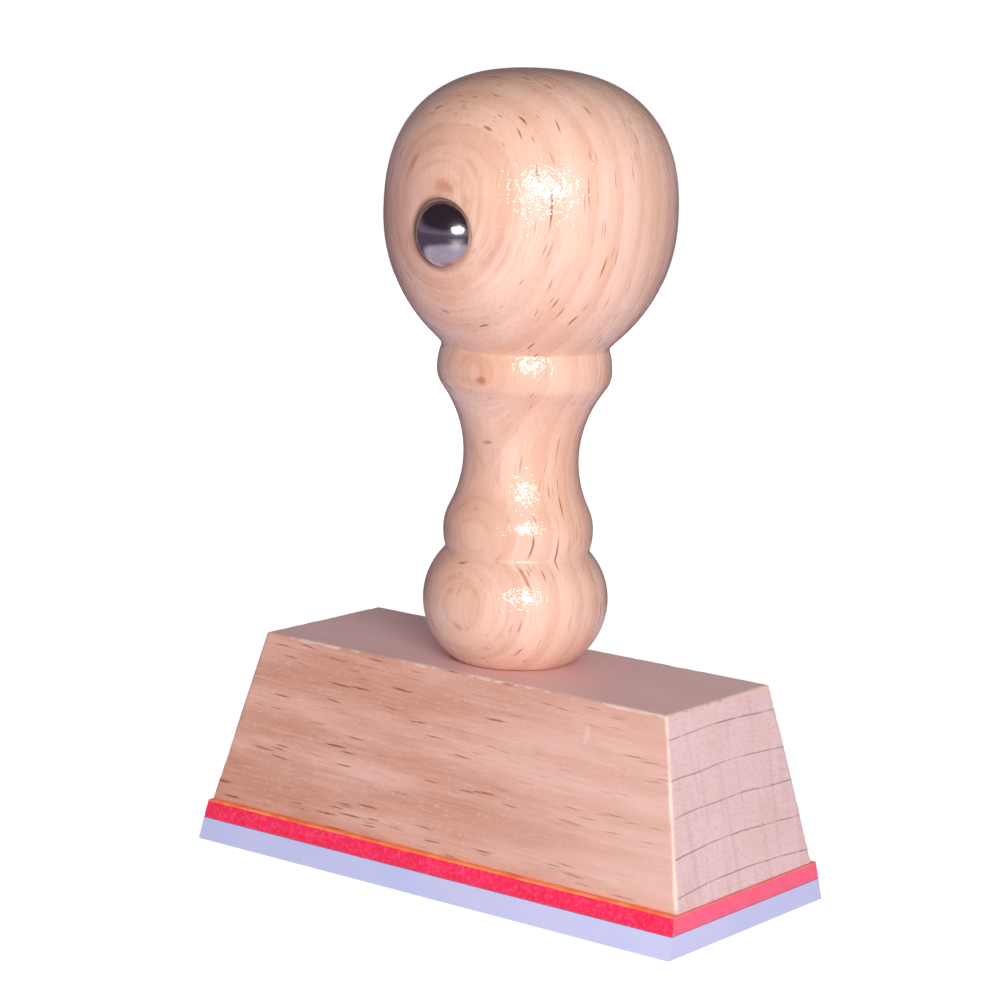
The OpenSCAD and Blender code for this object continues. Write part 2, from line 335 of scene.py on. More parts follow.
def makeRoom():
    # an even dim room; what gloss reflects is dark overhead and paler along the far wall
    world = bpy.data.worlds.new("room")
    bpy.context.scene.world = world
    world.use_nodes = True
    nodes, links = world.node_tree.nodes, world.node_tree.links
    direction = nodes.new("ShaderNodeTexCoord")
    split = nodes.new("ShaderNodeSeparateXYZ")
    links.new(direction.outputs["Generated"], split.inputs[0])
    height = nodes.new("ShaderNodeValToRGB")
    links.new(split.outputs["Z"], height.inputs[0])
    height.color_ramp.interpolation = "EASE"
    low, high = height.color_ramp.elements
    low.position, low.color = 0.0, room["wall"]
    high.position, high.color = room["wallTop"], room["ceiling"]
    ray = nodes.new("ShaderNodeLightPath")

    def choose(kind, other, chosen):
        # one colour for this kind of ray and another for the rest
        pick = nodes.new("ShaderNodeMix")
        pick.data_type = "RGBA"
        links.new(ray.outputs[kind], pick.inputs[0])
        for socket, value in ((pick.inputs[6], other), (pick.inputs[7], chosen)):
            if isinstance(value, bpy.types.NodeSocket):
                links.new(value, socket)
            else:
                socket.default_value = value
        return pick.outputs[2]

    air = choose("Is Glossy Ray", room["air"], height.outputs["Color"])
    # low views look past the floor's edge, at white
    links.new(choose("Is Camera Ray", air, room["behind"]), nodes["Background"].inputs["Color"])


makeCamera()
makeLight("key")
makeLight("back").visible_glossy = False
makeFloor()
makeTableGlow()
makeRoom()
bpy.context.scene.view_settings.view_transform = "Standard"
print("stage ready")


woodScale = {
    # how fine each part of the figure is: along the rings, across them, along the fibres
    "breaks": (0.12, 0.3, 0.12), "fibre": (3.0, 3.0, 0.22), "shine": (1.3, 1.9, 0.12),
    "bend": (0.25, 0.25, 0.12), "patches": (0.22, 0.1, 0.22), "fine": (0.03, 1.0, 0.015),
}


def growthRings(graph, across, out, grain, look):
    # distance outwards through the rings, in mm, which wanders a little along the tree
    far = graph.math("ADD", out, look["heart"])
    squares = graph.math("MULTIPLY_ADD", across, across, graph.math("MULTIPLY", far, far))
    ring = graph.math("SQRT", squares)
    wander = graph.noise(graph.stretched((across, out, grain), look["wanderScale"]), 1.0, 2.0)
    wander = graph.math("MULTIPLY", graph.math("SUBTRACT", wander, 0.5), look["wander"])
    return graph.math("ADD", graph.math("SUBTRACT", ring, look["heart"]), wander)


def yearLines(graph, ring, year, uneven):
    # a soft dark band and a crisp line at the end of each year's growth
    shift = graph.math("SUBTRACT", graph.noise(graph.join(0, ring, 0), 0.35, 1.0), 0.5)
    age = graph.math("DIVIDE", graph.math("MULTIPLY_ADD", shift, uneven, ring), year)
    phase = graph.math("FRACT", age)
    late = graph.math("MULTIPLY", graph.ramp(phase, 0.25, 0.92),
                      graph.math("SUBTRACT", 1, graph.ramp(phase, 0.92, 1.0)))
    line = graph.math("MULTIPLY", graph.ramp(phase, 0.945, 0.975),
                      graph.math("SUBTRACT", 1, graph.ramp(phase, 0.98, 1.0)))
    return late, line


def rayFlecks(graph, across, ring, grain, layers):
    # short thin dashes in the rings; each layer is a cell in mm, a radius in it, and a strength
    flecks = 0.0
    for cell, radius, strength in layers:
        cells = graph.stretched((across, ring, grain), [1 / side for side in cell])
        found = graph.voronoi(cells, 1.0)
        chance = graph.split(found["Color"])[0]
        spot = graph.math("SUBTRACT", 1, graph.ramp(found["Distance"], radius * 0.35, radius))
        strong = graph.math("MULTIPLY", graph.ramp(chance, 0.12, 0.8), strength)
        spot = graph.math("MULTIPLY", spot, strong)
        flecks = graph.math("MAXIMUM", spot, flecks)
    return flecks


def woodStain(graph, at, place, reach):
    # 1 at a place in the wood and 0 beyond its reach, in mm, with a ragged edge
    apart = graph.length(graph.vector("DIVIDE", graph.vector("SUBTRACT", at, place), reach))
    ragged = graph.math("MULTIPLY_ADD", graph.noise(at, 1.6, 3.0, 0.6), 0.9, apart)
    return graph.math("SUBTRACT", 1, graph.ramp(ragged, 0.75, 1.35))


def beech(name, look):
    graph = Graph(name)
    at = millimetres(graph)
    places = dict(zip("xyz", graph.split(at)))
    normals = dict(zip("xyz", graph.split(graph.coords.outputs["Normal"])))
    # across lies along the rings, out crosses them and grain follows the fibres
    across, out, grain = [places[axis] for axis in look["axes"]]
    out = graph.math("MULTIPLY_ADD", grain, look["lean"], out)
    figure = (across, out, grain)

    def grainNoise(kind, detail, roughness=0.5):
        return graph.noise(graph.stretched(figure, woodScale[kind]), 1.0, detail, roughness)

    def layer(wood, mask, strength, tint):
        # a colour laid over the wood where the mask is
        return graph.mix(graph.math("MULTIPLY", mask, strength), wood, look[tint])

    ring = growthRings(graph, across, out, grain, look)
    late, line = yearLines(graph, ring, look["year"], look["uneven"])
    brokenLine = graph.math("MULTIPLY", line, graph.ramp(grainNoise("breaks", 2.0), 0.4, 0.62))
    fibre = grainNoise("fibre", 3.0, 0.6)
    shine = grainNoise("shine", 3.0, 0.6)
    bentRing = graph.math("MULTIPLY_ADD", grainNoise("bend", 1.0), 1.2, ring)
    flecks = rayFlecks(graph, across, bentRing, grain, look["flecks"])
    tone = graph.noise(graph.stretched(figure, look["toneScale"]), 1.0, 2.0, 0.55)
    patches = graph.ramp(grainNoise("patches", 2.0, 0.6), 0.3, 0.58)
    flat = graph.ramp(graph.math("ABSOLUTE", normals[look["axes"][1]]), 0.72, 0.95)
    # a fleck seen face on is wide and faint
    flecks = graph.math("MULTIPLY", flecks, graph.math("MULTIPLY_ADD", flat, -0.65, 1.0))

    wood = graph.mix(graph.ramp(tone, 0.32, 0.66), look["light"], look["warm"])
    wood = layer(wood, late, look["lateShare"], "late")
    for scale, amount, flatAmount in look["fine"]:
        fine = graph.noise(graph.stretched((across, ring, grain), woodScale["fine"]), scale, 2.0, 0.6)
        strength = graph.math("MULTIPLY_ADD", flat, flatAmount - amount, amount)
        seen = graph.math("MULTIPLY", strength, patches)
        wood = layer(wood, graph.ramp(fine, 0.46, 0.64), seen, "late")
    wood = layer(wood, graph.ramp(fibre, 0.4, 0.75), look["fibreShare"], "dark")
    wood = layer(wood, graph.ramp(shine, 0.5, 0.72), look["shineShare"], "shine")
    wood = layer(wood, brokenLine, look["lineShare"], "dark")
    for place, reach, amount in look["stains"]:
        spot = graph.math("MULTIPLY", woodStain(graph, at, place, reach), graph.ramp(fine, 0.38, 0.5))
        wood = layer(wood, spot, amount, "stain")
    wood = graph.mix(flecks, wood, look["fleck"])
    return graph, wood, {"at": at, **places, "across": across, "out": out, "ring": ring, "fibre": fibre,
                         "flecks": flecks, "line": line}


print("wood ready")


handle = {
    "knob": (16.2, 49.8), "crown": (15.9, 2.45),      # radius and height, rise and fullness
    "knobCrease": (9.2, 35.5), "collar": (9.7, 32.7), "waist": (6.4, 23.0),
    "bead": (8.35, 14.8), "bulbCrease": (8.0, 12.5), "bulb": (10.35, 6.9), "foot": (6.6, 0.0),
    "collarJoin": 0.8, "beadJoin": 0.31,
    "arcSteps": 8, "crownSteps": 22, "sides": 128,
}
screwHole = {"radius": 1.8, "inHandle": 17.0, "inBlock": 14.5}
nail = {
    "radius": 3.5, "rise": 2.0, "wall": 0.4, "seatGap": 0.34, "seatDeeper": 0.3, "height": 48.5,
    "shank": 0.8, "shankDepth": 10, "lip": 0.12,
}
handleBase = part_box("handle")[0].z / mm
nailRim = -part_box("marker_nail_cap")[1].y / mm


def uprightArc(start, end, steps):
    # an arc that stands upright at start, as (radius, height) points without the last one
    reach, rise = end[0] - start[0], end[1] - start[1]
    centre = start[0] + (reach ** 2 + rise ** 2) / (2 * reach)
    size = abs(start[0] - centre)
    first = math.pi if start[0] < centre else 0.0
    sweep = math.atan2(rise, end[0] - centre) - first
    sweep = (sweep + math.pi) % (2 * math.pi) - math.pi
    turns = [first + sweep * i / steps for i in range(steps)]
    return [(centre + size * math.cos(turn), start[1] + size * math.sin(turn)) for turn in turns]


def ringToRing(low, joint, high, steps):
    upper = list(reversed(uprightArc(high, joint, steps)))
    return uprightArc(low, joint, steps) + [joint] + upper[:-1]


def share(first, second, amount):
    return tuple(a + (b - a) * amount for a, b in zip(first, second))


def handleProfile():
    steps = handle["arcSteps"]
    foot, bulb, bead = handle["foot"], handle["bulb"], handle["bead"]
    waist, collar, knob = handle["waist"], handle["collar"], handle["knob"]
    points = [foot]
    points += list(reversed(uprightArc(bulb, foot, steps)))[:-1]
    points += ringToRing(bulb, handle["bulbCrease"], bead, steps)
    points += ringToRing(bead, share(bead, waist, handle["beadJoin"]), waist, steps)
    points += ringToRing(waist, share(waist, collar, handle["collarJoin"]), collar, steps)
    points += ringToRing(collar, handle["knobCrease"], knob, steps)
    rise, fullness = handle["crown"]
    for i in range(handle["crownSteps"]):
        # closer together near the top
        a = math.pi / 2 * math.sin(math.pi / 2 * i / handle["crownSteps"])
        points.append((knob[0] * math.cos(a) ** (2 / fullness),
                       knob[1] + rise * math.sin(a) ** (2 / fullness)))
    return points, knob[1] + rise


def cutter(radius, depth, place, turn=(0, 0, 0), soft=0.0):
    # a round bar whose flat end is at place, in mm
    deselectAll()
    bpy.ops.mesh.primitive_cylinder_add(vertices=64, radius=radius * mm, depth=depth * mm)
    bar = named("cutter")
    editMode("SELECT", "VERT")
    bpy.ops.transform.translate(value=(0, 0, depth / 2 * mm))
    objectMode()
    if soft:
        addModifier(bar, "BEVEL", width=soft * mm, segments=3, limit_method="ANGLE")
    bar.rotation_euler = turn
    bar.location = Vector(place) * mm
    applyPlace(bar)
    return bar


def drill(piece, bar):
    addModifier(piece, "BOOLEAN", object=bar, operation="DIFFERENCE", solver="EXACT")
    bpy.data.objects.remove(bar)


def handleWood():
    graph, wood, parts = beech("lacquered beech", handleLook)
    at, look = parts["at"], handleLook
    # one strong orange line where a year ends, near the shoulder of the bulb
    offLine = graph.math("ABSOLUTE", graph.math("SUBTRACT", parts["ring"], look["arcRing"]))
    arc = graph.math("SUBTRACT", 1, graph.ramp(offLine, 0.02, look["arcWidth"]))
    arc = graph.math("MULTIPLY", arc, woodStain(graph, at, look["arcPlace"], look["arcReach"]))
    wood = graph.mix(graph.math("MULTIPLY", arc, look["arcShare"]), wood, look["stain"])
    # painted shadow and some grime round the nail: a dark ring, painted heavier on the side away from the
    # lamp
    up = graph.math("SUBTRACT", parts["z"], handleBase + nail["height"])
    fromNail = graph.length(graph.join(parts["x"], 0, up))
    paintedShadowAndGrime = graph.math("SUBTRACT", 1, graph.ramp(fromNail, *look["paintedShadowAndGrimeReach"]))
    paintedShadowAndGrime = graph.math("MULTIPLY", paintedShadowAndGrime, graph.ramp(parts["y"], -11, -13))
    shaded = graph.math("MULTIPLY_ADD", graph.ramp(parts["x"], 2.5, -3.5), 0.6, 0.3)
    wood = graph.mix(graph.math("MULTIPLY", paintedShadowAndGrime, shaded), wood, look["paintedShadowAndGrime"])
    # dimples in the lacquer break a highlight into small sparks
    alongGrain = graph.vector("MULTIPLY", at, look["dimpleStretch"])
    dimples = graph.voronoi(alongGrain, look["dimples"])["Distance"]
    grit = graph.voronoi(alongGrain, look["dimples"] * 2.3)["Distance"]
    rough = graph.ramp(graph.noise(at, 0.8, 3.0, 0.6), 0.42, 0.62)
    peel = graph.math("MULTIPLY_ADD", grit, 0.4, graph.math("MULTIPLY", dimples, dimples))
    peel = graph.math("MULTIPLY", peel, graph.math("MULTIPLY_ADD", rough, 0.45, 0.58))
    pores = graph.math("SUBTRACT", graph.math("MULTIPLY", parts["fibre"], 0.5), parts["flecks"])
    graph.set(Base_Color=wood, Roughness=0.45, Specular_IOR_Level=0.3,
              Normal=graph.bump(pores, 0.5, 0.05 * mm),
              Coat_Weight=1.0, Coat_Roughness=0.07, Coat_IOR=1.46,
              Coat_Normal=graph.bump(peel, 1.0, look["peel"] * mm))
    return graph.material


handleLook = {
    "axes": ("x", "y", "z"), "heart": 900.0, "lean": -0.062, "year": 3.1, "uneven": 1.1,
    "wander": 1.5, "wanderScale": (0.05, 0.05, 0.018), "toneScale": (0.11, 0.11, 0.05),
    "lineShare": 0.14, "lateShare": 0.3, "fibreShare": 0.12, "shineShare": 0.15,
    "fine": [(1.1, 0.12, 0.2), (3.6, 0.14, 0.45)],    # scale, strength, strength seen face on
    "flecks": [((3.8, 0.6, 12.5), 0.225, 1.1), ((2.2, 0.36, 7.0), 0.21, 0.75)],
    "light": colour(252, 215, 194), "warm": colour(245, 199, 172), "late": colour(221, 161, 128),
    "dark": colour(176, 114, 84), "fleck": colour(170, 106, 74), "shine": colour(255, 224, 206),
    "stain": colour(196, 124, 78),
    # place, reach in mm, strength
    "stains": [((1.3, -9.7, 57.3), (0.9, 1.2, 0.7), 0.8), ((0.2, -6.7, 50.0), (1.0, 1.0, 0.5), 0.7),
               ((0.6, -16.0, 79.0), (2.6, 1.8, 2.0), 0.6), ((0.8, -16.0, 67.6), (2.2, 1.5, 0.6), 0.5)],
    "arcRing": -9.0, "arcWidth": 0.22, "arcPlace": (6.0, -7.0, 35.5), "arcReach": (3.0, 4.0, 3.0),
    # arcShare is the orange line's strength; the dark colour and reach after it are the painted shadow
    # and grime round the nail
    "arcShare": 0.8, "paintedShadowAndGrime": colour(96, 66, 66), "paintedShadowAndGrimeReach": (3.6, 4.5),
    "dimples": 1.9, "dimpleStretch": (1, 1, 0.6), "peel": 0.072,
}


def drawOutline(name, points):
    # one corner, drawn out edge by edge through (radius, height) points in mm
    deselectAll()
    bpy.ops.mesh.primitive_plane_add(size=mm)
    outline = named(name)
    editMode("SELECT", "VERT")
    bpy.ops.mesh.merge(type="CENTER")
    bpy.ops.transform.translate(value=(points[0][0] * mm, 0, points[0][1] * mm))
    for start, end in zip(points, points[1:]):
        step = ((end[0] - start[0]) * mm, 0, (end[1] - start[1]) * mm)
        bpy.ops.mesh.extrude_vertices_move(TRANSFORM_OT_translate={"value": step})
    return outline


def makeHandle():
    points, top = handleProfile()
    foot = handle["foot"][0]
    points = [(0, 0), (foot - 0.3, 0)] + points + [(0, top)]
    turned = drawOutline("turnedHandle", [(radius, handleBase + height) for radius, height in points])
    bpy.ops.mesh.select_all(action="SELECT")
    bpy.ops.mesh.spin(steps=handle["sides"], angle=2 * math.pi, center=(0, 0, 0), axis=(0, 0, 1))
    bpy.ops.mesh.select_all(action="SELECT")
    bpy.ops.mesh.remove_doubles(threshold=0.001 * mm)
    bpy.ops.mesh.normals_make_consistent(inside=False)
    objectMode()
    addModifier(turned, "SUBSURF", levels=1, render_levels=1)
    quarter = math.radians(90)
    nailHeight, seatFloor = handleBase + nail["height"], -nailRim + nail["seatDeeper"]
    seatPlace = (0, seatFloor, nailHeight)
    drill(turned, cutter(nail["radius"] + nail["seatGap"], 6, seatPlace, (quarter, 0, 0), nail["lip"]))
    hole = (0, -nailRim + nail["shankDepth"], nailHeight)
    drill(turned, cutter(nail["shank"], nail["shankDepth"] + 1, hole, (quarter, 0, 0)))
    drill(turned, cutter(screwHole["radius"], screwHole["inHandle"] + 1, (0, 0, handleBase - 1)))
    smooth(turned, 32)
    turned.data.materials.append(handleWood())
    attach(turned, "stamp_body")
    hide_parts("handle")
    return turned


makeHandle()
print("handle ready")


chromeLook = {"bright": (0.74, 0.69, 0.74, 1), "dull": (0.58, 0.53, 0.58, 1)}


def chrome():
    graph = Graph("polished chrome")
    at = millimetres(graph)
    stains = graph.noise(at, 0.9, 3.0, 0.6)
    scratches = graph.noise(graph.vector("MULTIPLY", at, (9, 1, 0.8)), 1.6, 3.0, 0.7)
    rough = graph.math("MULTIPLY_ADD", graph.ramp(stains, 0.4, 0.8), 0.08, 0.12)
    dents = graph.noise(at, 0.75, 1.0)
    height = graph.math("MULTIPLY_ADD", scratches, 0.02, graph.math("MULTIPLY", dents, 0.35))
    tone = graph.mix(graph.ramp(stains, 0.35, 0.8), chromeLook["bright"], chromeLook["dull"])
    graph.set(Base_Color=tone, Metallic=1.0, Roughness=rough, Normal=graph.bump(height, 0.35, 0.12 * mm))
    return graph.material


def makeNailCap():
    ball = (nail["radius"] ** 2 + nail["rise"] ** 2) / (2 * nail["rise"])
    deselectAll()
    bpy.ops.mesh.primitive_uv_sphere_add(segments=96, ring_count=96, radius=ball * mm,
                                         location=(0, 0, (nail["rise"] - ball) * mm))
    cap = named("nailCap")
    applyPlace(cap)
    editMode("SELECT", "FACE")
    bpy.ops.mesh.bisect(plane_co=(0, 0, 0), plane_no=(0, 0, 1), clear_inner=True)
    objectMode()
    addModifier(cap, "SOLIDIFY", thickness=nail["wall"] * mm, offset=-1)
    addModifier(cap, "BEVEL", width=0.1 * mm, segments=3, limit_method="ANGLE")
    cap.rotation_euler = (math.radians(90), 0, 0)
    cap.location = (0, -nailRim * mm, (handleBase + nail["height"]) * mm)
    applyPlace(cap)
    smooth(cap, 45)
    cap.data.materials.append(chrome())
    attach(cap, "stamp_body")
    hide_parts("marker_nail_cap")


makeNailCap()
print("nail ready")


block = {
    "top": (55.2, 20.2), "arris": 0.22, "cuts": 40, "lengthCuts": 2,
    "wearWidth": 0.6, "wearDepth": 0.2,
}
blockLow, blockHigh = [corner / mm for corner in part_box("mount_block")]
blockLook = {
    "axes": ("y", "z", "x"), "heart": 105.0, "lean": 0.02, "year": 3.9, "uneven": 1.2,
    "wander": 1.6, "wanderScale": (0.05, 0.05, 0.018), "toneScale": (0.1, 0.26, 0.045),
    "lineShare": 0.3, "lateShare": 0.2, "fibreShare": 0.2, "shineShare": 0.2,
    "fine": [(1.1, 0.18, 0.1), (3.2, 0.14, 0.1)],    # scale, strength, strength seen face on
    "flecks": [((1.3, 0.62, 9.0), 0.24, 1.15), ((1.0, 0.42, 6.6), 0.24, 1.0)],
    "dentPlace": (18.0, -11.0, 21.3), "dentReach": (0.5, 2.0, 1.7),
    "light": colour(241, 194, 175), "warm": colour(219, 161, 136), "late": colour(208, 146, 118),
    "dark": colour(172, 114, 90), "fleck": colour(162, 102, 76), "shine": colour(252, 214, 200),
    "stain": colour(196, 124, 78), "stains": [],
    # top is a painted light tint: lilac laid on the top face for the room light falling on it
    "top": colour(238, 206, 212), "paintedTopLightShare": 0.6,
    "endGrain": colour(246, 213, 211), "endLine": colour(150, 116, 126), "worn": colour(246, 222, 204),
}


def blockHalf(z):
    # half the block's length and width at a height in mm
    rise = (z - blockLow.z) / (blockHigh.z - blockLow.z)
    return [foot + (top / 2 - foot) * rise for foot, top in zip((blockHigh.x, blockHigh.y), block["top"])]


def edgeDistance(p):
    # how far a surface point in mm is from the nearest arris, and from which planes
    halfLength, halfWidth = blockHalf(p.z)
    gaps = [(halfLength - abs(p.x), Vector((math.copysign(1, p.x), 0, 0.2))),
            (halfWidth - abs(p.y), Vector((0, math.copysign(1, p.y), 0.15))),
            (blockHigh.z - p.z, Vector((0, 0, 1)))]
    gaps.sort(key=lambda gap: gap[0])
    return max(0, gaps[1][0]), (gaps[0][1] + gaps[1][1]).normalized()


def wearAt(p):
    # how worn the arris is here, 0 to 1, in patches along it
    broad = noise.noise(p * 0.16 + Vector((3.1, 7.7, 1.3)))
    fine = noise.noise(p * 0.9 + Vector((9.2, 0.4, 5.5)))
    return smoothStep(-0.5, 0.4, broad * 0.9 + fine * 0.5)


def endGrain(graph, parts):
    # pale, with thin dark year lines, fainter ones between them, and upright rays
    look, at = blockLook, parts["at"]
    between = yearLines(graph, graph.math("ADD", parts["ring"], 0.6), look["year"] / 3.3, 0.5)[1]
    patches = graph.noise(at, 0.25, 2.0, 0.6)
    fan = graph.math("DIVIDE", parts["across"], graph.math("ADD", parts["out"], look["heart"]))
    fanned = graph.join(graph.math("MULTIPLY", fan, 80), graph.math("MULTIPLY", parts["z"], 0.05), 0)
    ray = graph.noise(fanned, 1.0, 2.0, 0.6)
    pits = graph.noise(at, 4.0, 2.0, 0.7)
    cloud = graph.noise(at, 0.12, 2.0)
    dashes = graph.noise(graph.vector("MULTIPLY", at, (1, 1.1, 4.5)), 1.0, 2.0, 0.6)
    ends = look["endGrain"]
    for mask, low, high, amount, tint in (
            (ray, 0.5, 0.68, 0.15, "endLine"), (pits, 0.35, 0.7, 0.12, "endLine"),
            (dashes, 0.5, 0.7, 0.14, "endLine"), (cloud, 0.4, 0.7, 0.15, "warm")):
        ends = graph.mix(graph.math("MULTIPLY", graph.ramp(mask, low, high), amount), ends, look[tint])
    fainter = graph.math("MULTIPLY", graph.ramp(patches, 0.4, 0.6), 0.35)
    ends = graph.mix(graph.math("MULTIPLY", between, fainter), ends, look["endLine"])
    strength = graph.math("MULTIPLY_ADD", graph.ramp(patches, 0.3, 0.55), 0.5, 0.3)
    return graph.mix(graph.math("MULTIPLY", parts["line"], strength), ends, look["endLine"]), pits


def blockWood():
    graph, wood, parts = beech("satin beech", blockLook)
    at, look = parts["at"], blockLook
    normal = graph.split(graph.coords.outputs["Normal"])
    endFace = graph.ramp(graph.math("ABSOLUTE", normal[0]), 0.75, 0.92)
    topFace = graph.ramp(normal[2], 0.8, 0.95)
    # paler towards the right end, with light specks and one pressed mark
    wood = graph.mix(graph.math("MULTIPLY", graph.ramp(parts["x"], -8, 34), 0.45), wood, look["shine"])
    specks = graph.noise(graph.vector("MULTIPLY", at, (1.4, 4.5, 4.5)), 1.0, 2.0, 0.7)
    wood = graph.mix(graph.math("MULTIPLY", graph.ramp(specks, 0.56, 0.7), 0.4), wood, look["shine"])
    pressed = graph.math("MULTIPLY", woodStain(graph, at, look["dentPlace"], look["dentReach"]), 0.5)
    wood = graph.mix(pressed, wood, look["worn"])
    # painted light: the top face is tinted a paler lilac, standing in for the lilac room light falling on
    # it
    wood = graph.mix(graph.math("MULTIPLY", topFace, look["paintedTopLightShare"]), wood, look["top"])
    ends, pits = endGrain(graph, parts)
    wood = graph.mix(endFace, wood, ends)
    # bare pale wood where the edges are rubbed
    crumbs = graph.noise(at, 2.2, 3.0, 0.7)
    worn = graph.ramp(graph.math("MULTIPLY_ADD", crumbs, 0.6, graph.attribute("wear")), 0.62, 0.95)
    worn = graph.math("MULTIPLY", worn, 0.8)
    wood = graph.mix(worn, wood, look["worn"])
    sawn = graph.noise(graph.vector("MULTIPLY", at, (0.3, 2.6, 2.6)), 1.0, 4.0, 0.65)
    height = graph.math("SUBTRACT", graph.math("MULTIPLY", sawn, 0.8), parts["flecks"])
    height = graph.math("MULTIPLY_ADD", graph.math("MULTIPLY", pits, endFace), 1.2, height)
    rough = graph.math("MULTIPLY_ADD", graph.math("MAXIMUM", endFace, worn), 0.3, 0.44)
    graph.set(Base_Color=wood, Roughness=rough, Normal=graph.bump(height, 0.6, 0.06 * mm),
              Coat_Weight=0.18, Coat_Roughness=0.35)
    return graph.material


def makeBlock():
    size, middle = blockHigh - blockLow, (blockHigh + blockLow) / 2
    deselectAll()
    bpy.ops.mesh.primitive_cube_add(size=1, location=middle * mm, scale=size * mm)
    wood = named("bevelledBlock")
    applyPlace(wood)
    editMode()
    selectWhere(wood, "faces", lambda face: face.normal.z > 0.9)
    bpy.ops.transform.resize(value=(block["top"][0] / size.x, block["top"][1] / size.y, 1),
                             center_override=(0, 0, blockHigh.z * mm))
    bpy.ops.mesh.select_all(action="SELECT")
    bpy.ops.mesh.subdivide(number_cuts=block["cuts"])
    bpy.ops.mesh.select_mode(type="EDGE")
    selectWhere(wood, "edges", lambda edge: abs(run(edge).normalized().x) > 0.9)
    bpy.ops.mesh.subdivide(number_cuts=block["lengthCuts"])
    objectMode()
    addModifier(wood, "BEVEL", width=block["arris"] * mm, segments=2, limit_method="ANGLE")
    depth = screwHole["inBlock"]
    drill(wood, cutter(screwHole["radius"], depth + 1, (0, 0, blockHigh.z - depth)))
    wear = wood.data.attributes.new("wear", "FLOAT", "POINT")
    for index, vertex in enumerate(wood.data.vertices):
        p = vertex.co / mm
        distance, outwards = edgeDistance(p)
        worn = wearAt(p) * (1 - smoothStep(0, block["wearWidth"], distance))
        if (p.xy.length > 5 or p.z < blockHigh.z - 0.5) and p.z > blockLow.z + 0.4:
            chip = max(0, noise.noise(p * 1.7)) * 0.8 + 0.25
            vertex.co = (p - outwards * worn * worn * block["wearDepth"] * chip) * mm
            wear.data[index].value = worn
    wood.data.update()
    smooth(wood, 50)
    wood.data.materials.append(blockWood())
    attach(wood, "stamp_body")
    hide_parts("mount_block")


makeBlock()
print("block ready")


trim = {"side": math.tan(math.radians(15)), "end": math.tan(math.radians(4)), "step": 0.22}


def trimmedSheet(name, node, rows, shaper=None):
    # a sheet with sloping cut sides, in rows of points; shaper says how far a point stands out, in mm
    low, high = [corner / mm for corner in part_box(node)]
    size = high - low
    deselectAll()
    bpy.ops.mesh.primitive_plane_add(size=1, location=(0, 0, low.z * mm))
    sheet = named(name)
    sheet.scale = (size.x * mm, size.y * mm, 1)
    applyPlace(sheet)
    editMode("SELECT", "FACE")
    bpy.ops.mesh.delete(type="ONLY_FACE")
    bpy.ops.mesh.select_mode(type="EDGE")
    for axis, length in ((0, size.x), (1, size.y)):
        selectWhere(sheet, "edges", lambda edge: abs(run(edge)[axis]) > 2 * mm)
        bpy.ops.mesh.subdivide(number_cuts=int(length / trim["step"]))
    bpy.ops.mesh.select_all(action="SELECT")
    bpy.ops.mesh.edge_face_add()
    rise = size.z / rows
    width, depth = size.x, size.y
    for row in range(1, rows + 1):
        bpy.ops.mesh.extrude_region_move(TRANSFORM_OT_translate={"value": (0, 0, rise * mm)})
        nextWidth, nextDepth = width - 2 * rise * trim["end"], depth - 2 * rise * trim["side"]
        bpy.ops.transform.resize(value=(nextWidth / width, nextDepth / depth, 1),
                                 center_override=(0, 0, (low.z + rise * row) * mm))
        width, depth = nextWidth, nextDepth
    bpy.ops.mesh.select_all(action="SELECT")
    bpy.ops.mesh.normals_make_consistent(inside=False)
    objectMode()
    if shaper:
        for vertex in sheet.data.vertices:
            p = vertex.co / mm
            reach = Vector((p.x / size.x, p.y / size.y, 0))
            if abs(reach.x) > abs(reach.y):
                outwards = Vector((math.copysign(1, p.x), 0, 0))
            else:
                outwards = Vector((0, math.copysign(1, p.y), 0))
            vertex.co = (p + outwards * shaper(p, (p.z - low.z) / size.z)) * mm
        sheet.data.update()
    return sheet


foam = {
    "rows": 9, "belly": 0.05, "cellDepth": 0.09, "inset": 0.02,
    "deep": colour(255, 4, 74), "bright": colour(250, 34, 92), "dark": colour(232, 2, 52),
    "speck": colour(255, 112, 150), "cutEnd": colour(255, 148, 176),
    "glow": (1, 0.005, 0.1, 1), "glowShare": 0.1,
}
film = {
    "rows": 2, "squeeze": 0.09, "inset": 0.02,
    "amber": colour(244, 104, 56), "paleAmber": colour(255, 158, 92), "cutEnd": colour(226, 116, 132),
    "endsFrom": (31.6, 32.2), "glow": (1, 0.3, 0.08, 1), "glowShare": 0.12,
    "grey": colour(132, 88, 104), "paleGrey": colour(184, 138, 156),
}
plateLook = {
    "bevel": 0.09,
    "blue": colour(202, 213, 252), "lilac": colour(213, 216, 252), "speck": colour(180, 178, 222),
}


def foamShape(p, rise):
    # soft sides that belly between the glued faces, with small open cells
    belly = foam["belly"] * math.sin(math.pi * rise)
    cell = noise.noise(p * 2.4) * 0.5 + noise.noise(p * 5.0)
    free = min(1, 6 * rise * (1 - rise) + 0.2)
    return (belly - max(0, cell) * foam["cellDepth"]) * free - foam["inset"]


def filmShape(p, rise):
    # glue that stands out a little in places
    bulge = noise.noise(p * 0.35 + Vector((p.x * 0.02, 0, 4)))
    return film["squeeze"] * smoothStep(-0.1, 0.5, bulge) - film["inset"]


